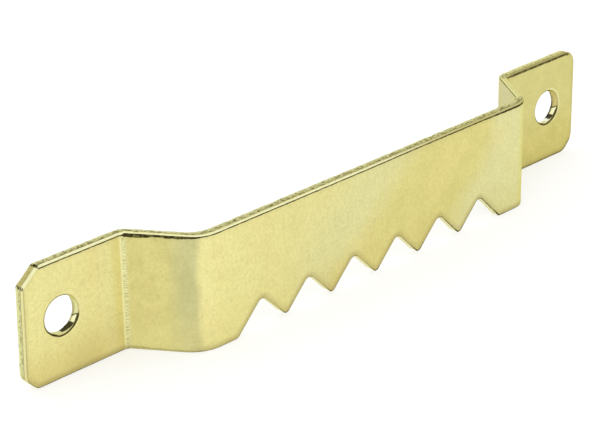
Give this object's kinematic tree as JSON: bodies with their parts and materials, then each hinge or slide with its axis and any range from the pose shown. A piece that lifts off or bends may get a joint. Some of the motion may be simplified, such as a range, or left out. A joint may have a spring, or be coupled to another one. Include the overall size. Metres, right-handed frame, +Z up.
{
  "type": "sawtooth picture hanger",
  "caption": "Bent metal strip with a row of notches along the bottom of a stand-off bar and a screw tab at each end, for hanging a frame on a nail.",
  "frame": {"origin": "midway between the centres of the two screw holes, on the plane of the backs of the tabs", "axes": "+X along the strip, +Z up towards the plain top edge, +Y out of the backs of the tabs into the frame that the hanger is screwed to"},
  "size_m": [0.0846, 0.0076, 0.0127],
  "materials": {
    "plated_steel": "satin brass-coloured plating on mild steel sheet"
  },
  "bodies": {
    "root": {"toothed_strip": "plated_steel"}
  },
  "joints": []
}
